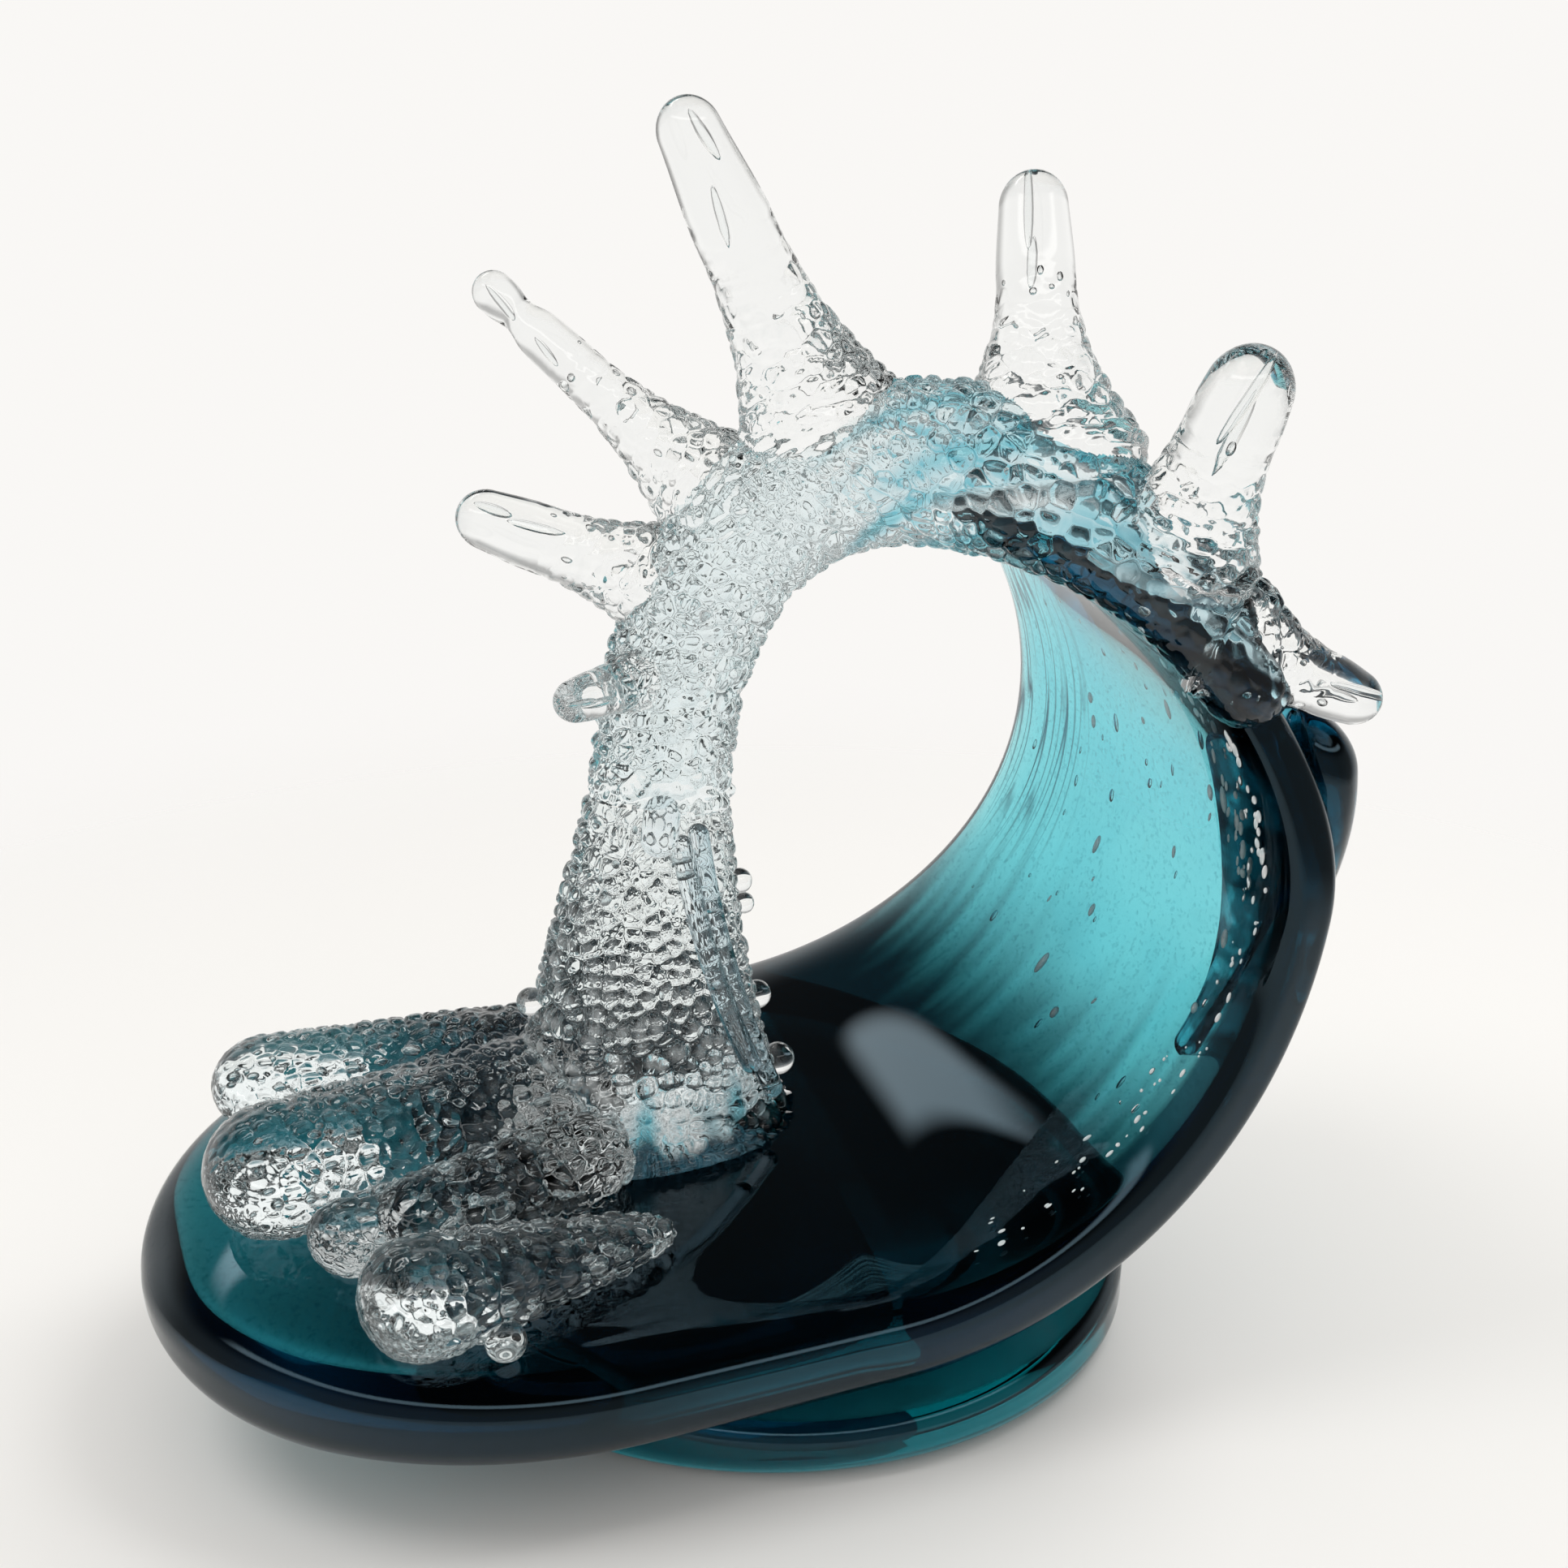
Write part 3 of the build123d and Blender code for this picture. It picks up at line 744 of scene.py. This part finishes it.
def frothy(rings, size, level, seed):
    """How milky points are, as painted glints: most in the middle of each pebble, times a level."""
    return (1 - rising(cells(rings, size, seed)[0], froth_core, froth_fade)) * level


def set_down(points):
    """Points lifted to just above the tongue's top, where they would lie below it."""
    up = (points - axis_point) @ up_dir
    return points + np.maximum(air_film - barrel_radius - up, 0)[..., None] * up_dir


def toe_limb(root, tip, root_size, tip_size, root_taper):
    """Straight run on the tongue, sunk by a share of its height, with a round taper at a free root."""
    start = place(*root, root_size[1] * (1 - toe_sink) - barrel_radius)
    end = place(*tip, tip_size[1] * (1 - toe_sink) - barrel_radius)
    length = np.linalg.norm(end - start)
    share, scale = round_shares(sum(tip_size) / 2 / length, 150, root_taper / length)
    path = start + (end - start) * share[:, None]
    side = np.cross(up_dir, unit(end - start))
    return limb(path, side, *tapered(root_size, tip_size, share, scale))


def within_any(points, shapes, margin=0.95):
    """Whether points lie inside at least one of several limbs."""
    return np.any([within(points, shape, margin) for shape in shapes], axis=0)


foam_glass = glass("foam_glass", foam_clear, roughness=0.01)
foam_colour = mixed(foam_glass, foam_clear, foam_teal, mark(foam_glass, "teal"))
shade(foam_glass, "Base Color", mixed(foam_glass, foam_colour, foam_navy, mark(foam_glass, "dark")))
foam_clearness = ramped(foam_glass, mark(foam_glass, "froth"), (0, 1), 1, foam_froth_clearness)
shade(foam_glass, "Transmission Weight", foam_clearness)
toe_limbs = {name: toe_limb(*sizes) for name, sizes in toes.items()}
for number, (name, shape) in enumerate(toe_limbs.items()):
    rings = limb_rings(shape, 130)
    fade = 1 - toe_smoothness * ease(np.linspace(*toe_smoothing, len(rings)))[:, None]
    pebbles = pebbled(rings, foam_pebble_size, toe_pebble_height, 40 + number, fade)
    surface = set_down(pebbles)
    patches = seal_waver * (cells(rings, seal_patch, seal_seed)[0] - 0.5)
    sealed = np.linspace(0, 1, len(rings))[:, None] + patches < seal_share
    others = [other for key, other in toe_limbs.items() if key != name]
    under = within_any(rings, [column_limb] + others) | ((surface != pebbles).any(-1) & sealed)
    shells = [surface] + limb_bubbles(shape, 120, (0.4, 1.2), 80 + number, depth=foam_bubble_depth)
    # Painted glints: milky white in the middle of the toe's pebbles.
    froth = frothy(rings, foam_pebble_size, toe_froth * fade, 40 + number)
    skin(name + "_run", shells, [foam_glass, fused_seam], "foam_glass", name, under, froth=froth)

# Column's skin: the pebbled face of the falling foam, closed once the trails and the toes lie on it.
# It is the crest's clear bubbly glass. Its foot is painted teal, a painted refraction of the tongue seen
# through it, and it is navy at the very bottom.
foam_pebble_height, foam_seed = 1.4, 3
column_around, column_length, column_girth = 260, 70, 130
column_froth, column_froth_fall = 0.5, 0.2
# Painted refraction: teal at the column's foot for the tongue seen through it; navy at the very bottom.
column_painted_teal, column_painted_teal_waver, column_painted_teal_level, column_painted_teal_range = (0.1, 0.12), 0.06, 0.5, 0.8
column_navy, column_navy_waver = (0.05, 0.05), 0.04


def skin_grid(shares, length, girth, around):
    """Distances along a limb and round it, at each point of its rings."""
    return np.meshgrid(shares * length, np.linspace(0, girth, around, endpoint=False), indexing="ij")


rings = limb_rings(column_limb, column_around)
under = within(rings, crest_limb) | within_any(rings, toe_limbs.values())
under = under | within_any(rings, trail_limbs.values(), margin=1.0)
from_top = np.linalg.norm(column_path(column_height) - column_path(1.0), axis=1)
under = under | (from_top < column_lap)[:, None]
height = column_height[:, None]
# Painted teal in streaks at the foot, for the tongue seen through it, and navy at the very bottom.
stain = wavering(*skin_grid(column_height, column_length, column_girth, column_around), seed=14)
teal = 1 - rising(height - column_painted_teal_waver * stain, *column_painted_teal)
teal = teal * np.clip(column_painted_teal_level + column_painted_teal_range * stain, 0, 1)
dark = 1 - rising(height - column_navy_waver * stain, *column_navy)
# Painted glints: milky white in the middle of the column's pebbles, most towards its foot.
froth = frothy(rings, foam_pebble_size, column_froth - column_froth_fall * height, foam_seed)
surface = set_down(pebbled(rings, foam_pebble_size, foam_pebble_height, foam_seed))
shells = [surface] + limb_bubbles(column_limb, 70, (0.35, 0.9), seed=4, depth=foam_bubble_depth)
skin(
    "foam_fall", shells, [foam_glass, fused_seam], "foam_glass", "foam_column", under,
    teal=teal, dark=dark, froth=froth,
)

# Crest's skin: the pebbled face of the crest, closed once the fingers stand on it.
# It is smoother at the near end, fused to the lip, whose navy and teal run along it and fade over the top.
crest_around, crest_length, crest_girth = 170, 190, 75
crest_stretch, crest_twist = 1.6, 0.25
crest_teal, crest_teal_waver, crest_teal_level, crest_teal_range = (0.4, 0.2), 0.1, 0.6, 0.6
crest_tinge, crest_tinge_waver = 0.1, 0.06
crest_navy, crest_navy_waver, crest_navy_level, crest_navy_range = (0.14, 0.1), 0.06, 0.55, 0.9
crest_smooth_level, crest_smooth_end, crest_smooth_fade = 0.3, 0.12, 0.4
crest_froth, tongue_skin = 0.3, 0.2


def in_wave(points):
    """Whether points lie in the teal wave: below the tongue's top, or between the wall's two faces."""
    away = points - axis_point
    across, along, up = away @ across_dir, away @ along_dir, away @ up_dir
    angle = np.degrees(np.arctan2(up, across))
    radius = np.hypot(across, up)
    near, far, thick = wall_sizes(np.clip(angle, -90, lip_angle))[:3]
    wall = (across > 0) & (angle < lip_angle) & (radius > barrel_radius) & (radius < barrel_radius + thick)
    wall = wall & (along > -near) & (along < far)
    return wall | ((across <= 0) & (up < -barrel_radius - tongue_skin))


rings = limb_rings(crest_limb, crest_around)
under = in_wave(rings) | within(rings, column_limb) | within_any(rings, finger_limbs.values())
under[-1] = True
share = crest_share[:, None]
run, girth = skin_grid(crest_share, crest_length, crest_girth, crest_around)
stain = wavering(run * crest_stretch, girth + crest_twist * run, seed=8)
teal = 1 - rising(share - crest_teal_waver * stain, *crest_teal)
teal = teal * np.clip(crest_teal_level + crest_teal_range * stain, 0, 1)
teal = np.maximum(teal, crest_tinge + crest_tinge_waver * stain)
dark = 1 - rising(share - crest_navy_waver * stain, *crest_navy)
dark = dark * ease(crest_navy_level + crest_navy_range * wavering(run * 2, girth + run, seed=9))
pebble_share = blend(crest_smooth_level, 1, (share - crest_smooth_end) / crest_smooth_fade)
# Painted glints: milky white in the middle of the crest's pebbles.
froth = frothy(rings, foam_pebble_size, crest_froth * pebble_share, foam_seed)
surface = pebbled(rings, foam_pebble_size, foam_pebble_height, foam_seed, pebble_share)
shells = [surface] + limb_bubbles(crest_limb, 90, (0.4, 1.0), seed=12)
skin(
    "foam_crest", shells, [foam_glass, fused_seam], "foam_glass", "crest_arch", under,
    teal=teal, dark=dark, froth=froth,
)

# Drop: one clear ball of glass beside the front toe.
# It is dripped on from a hot rod and left round, fused to the tongue where it lies.
drop_across, drop_along, drop_radius = -68, -66, 3.6
ball_blunt = 0.98


def ball_limb(centre, radius, rows):
    """Ball as a limb: circles along an upright path."""
    bend = np.linspace(-np.pi / 2, np.pi / 2, rows) * ball_blunt
    path = centre + np.sin(bend)[:, None] * radius * np.array([0, 0, 1.0])
    return limb(path, across_dir, radius * np.cos(bend), radius * np.cos(bend))


drop_shape = ball_limb(place(drop_across, drop_along, drop_radius / 2 - barrel_radius), drop_radius, 24)
skin("drop_ball", [set_down(limb_rings(drop_shape, 40))], [clear_glass], "clear_glass", "splash_drop")

# Beads: five small clear balls of glass on the column's edges, dripped on and sunk a little into the foam.
# Each has its turn round the column, its height and its radius.
beads = ((4, 0.72, 2.6), (-2, 0.66, 2.2), (8, 0.36, 3), (0, 0.16, 3.4), (184, 0.42, 2.8))
bead_proud = 0.5
for number, (turned, height, radius) in enumerate(beads):
    centre = column_skin(np.array(turned), np.array(height), radius * bead_proud)
    rings = limb_rings(ball_limb(centre, radius, 18), 28)
    name = "column_bead_" + str(number)
    sunk = within(rings, column_limb)
    skin(name, [rings], [clear_glass, fused_seam], "clear_glass", "column_beads", sunk)

# Floor: a plain pale table under the glass, painted matt.
# It fades out with the distance from the foot, so that it runs into the white room without an edge.
floor_half, floor_height = 2, -0.0002
floor_colour, floor_roughness, floor_fade = (0.86, 0.85, 0.83), 0.7, (0.18, 0.5)
floor_mesh = bpy.data.meshes.new("floor")
floor_ends = ((-1, -1), (1, -1), (1, 1), (-1, 1))
floor_corners = [(x * floor_half, y * floor_half, floor_height) for x, y in floor_ends]
floor_mesh.from_pydata(floor_corners, [], [(0, 1, 2, 3)])
floor = shown("floor", floor_mesh)
floor_paint = bpy.data.materials.new("floor_paint")
floor_paint.use_nodes = True
shade(floor_paint, "Base Color", floor_colour)
shade(floor_paint, "Roughness", floor_roughness)
floor_spot = fitted(floor_paint, "TexCoord", {}).outputs["Object"]
distance = fitted(floor_paint, "VectorMath", {0: floor_spot})
distance.operation = "LENGTH"
gone = ramped(floor_paint, distance.outputs["Value"], floor_fade)
paint = floor_paint.node_tree.nodes["Principled BSDF"].outputs["BSDF"]
nothing = fitted(floor_paint, "BsdfTransparent", {}).outputs["BSDF"]
faded = fitted(floor_paint, "MixShader", {0: gone, 1: paint, 2: nothing})
shade(floor_paint, "Surface", faded.outputs["Shader"], "Material Output")
floor_mesh.materials.append(floor_paint)

# Light: a white room with two soft round lamps overhead, to the right and to the left.
# Through the glass the room is bright ahead, behind and overhead and darker to the sides. In the glass's
# mirror it is bright behind the table and dim above, with one window and one strip of light.
room_white, room_level, backdrop_level = (0.95, 0.935, 0.915), 0.82, 1.0
side_span, side_level = (0.12, 0.5), 0.42
upper_span, upper_level = (0.22, 0.45), 0.5
overhead_span, overhead_level = (0.55, 0.8), 1.1
mirror_ahead, mirror_behind_level, mirror_ahead_level = (-0.1, 0.5), 0.3, 0.95
mirror_upper, mirror_upper_level = (0.25, 0.6), 0.08
window_left, window_right, window_ahead = (-0.68, -0.5), (-0.2, -0.32), (0.0, 0.1)
window_slant, window_sill, window_head, window_level = (-0.2, 0, 1), (0.79, 0.82), (0.885, 0.855), 4.0
strip_foot, strip_head, strip_behind, strip_level = (0.5, 0.56), (0.66, 0.6), (-0.15, -0.35), 2.5
lamps = {
    "right_lamp": ((0.4, 0.12, 0.8), (-0.15, 0.46, 0), 0.45, 2.4),
    "left_lamp": ((-0.45, -0.12, 0.75), (0.16, -0.54, 0), 0.4, 1.6),
}
room = bpy.data.worlds.new("room")
bpy.context.scene.world = room
room.use_nodes = True
way = fitted(room, "TexCoord", {}).outputs["Generated"]
parts = fitted(room, "SeparateXYZ", {"Vector": way})
right, ahead, above = parts.outputs["X"], parts.outputs["Y"], parts.outputs["Z"]
slant = fitted(room, "VectorMath", {0: way, 1: window_slant})
slant.operation = "DOT_PRODUCT"


def chosen(share, first, last):
    """Output of first, or of last where share is one."""
    return fitted(room, "Mix", {"Factor": share, "A": first, "B": last}).outputs["Result"]


def patch_of_light(*edges):
    """Output that is one inside all the edges, each a value and its span from 0 to 1."""
    inside = ramped(room, *edges[0])
    for edge in edges[1:]:
        inside = product(room, inside, ramped(room, *edge))
    return inside


facing = ramped(room, product(room, ahead, ahead), side_span, side_level, 1.0)
through = product(room, facing, ramped(room, above, upper_span, 1.0, upper_level))
through = chosen(ramped(room, above, overhead_span), through, overhead_level)
backdrop = ramped(room, ahead, mirror_ahead, mirror_behind_level, mirror_ahead_level)
mirrored = product(room, backdrop, ramped(room, above, mirror_upper, 1.0, mirror_upper_level))
height = slant.outputs["Value"]
window = patch_of_light(
    (right, window_left), (right, window_right), (height, window_sill), (height, window_head),
    (ahead, window_ahead),
)
mirrored = chosen(window, mirrored, window_level)
strip = patch_of_light((above, strip_foot), (above, strip_head), (ahead, strip_behind))
mirrored = chosen(strip, mirrored, strip_level)
rays = fitted(room, "LightPath", {})
level = chosen(rays.outputs["Is Glossy Ray"], room_level, mirrored)
level = chosen(rays.outputs["Is Transmission Ray"], level, through)
level = chosen(rays.outputs["Is Camera Ray"], level, backdrop_level)
shade(room, "Color", room_white, "Background")
shade(room, "Strength", level, "Background")
for name, (spot, turn, width, power) in lamps.items():
    data = bpy.data.lights.new(name, "AREA")
    data.shape = "ELLIPSE"
    data.size, data.size_y = width, width
    data.energy = power
    lamp = shown(name, data)
    lamp.location, lamp.rotation_euler = spot, turn
    lamp.visible_glossy = False
    lamp.visible_transmission = False

# Camera: a plain lens where the photograph was taken, a little above the crest.
# It looks straight back and a little down, with the photograph's own angle of view.
photo_width, focal_length, sensor_width = 1932, 2071, 36
camera_place, camera_dip, nearest_seen = (0.0024, -0.3155, 0.221), 18.7, 0.01
glass_bounces = 24
camera_data = bpy.data.cameras.new("camera")
camera_data.sensor_width = sensor_width
camera_data.lens = sensor_width * focal_length / photo_width
camera_data.clip_start = nearest_seen
camera = shown("camera", camera_data)
camera.location = camera_place
camera.rotation_euler = (np.radians(90 - camera_dip), 0, 0)
bpy.context.scene.camera = camera
bpy.context.scene.view_settings.view_transform = "Standard"
bpy.context.scene.cycles.max_bounces = glass_bounces
bpy.context.scene.cycles.transmission_bounces = glass_bounces
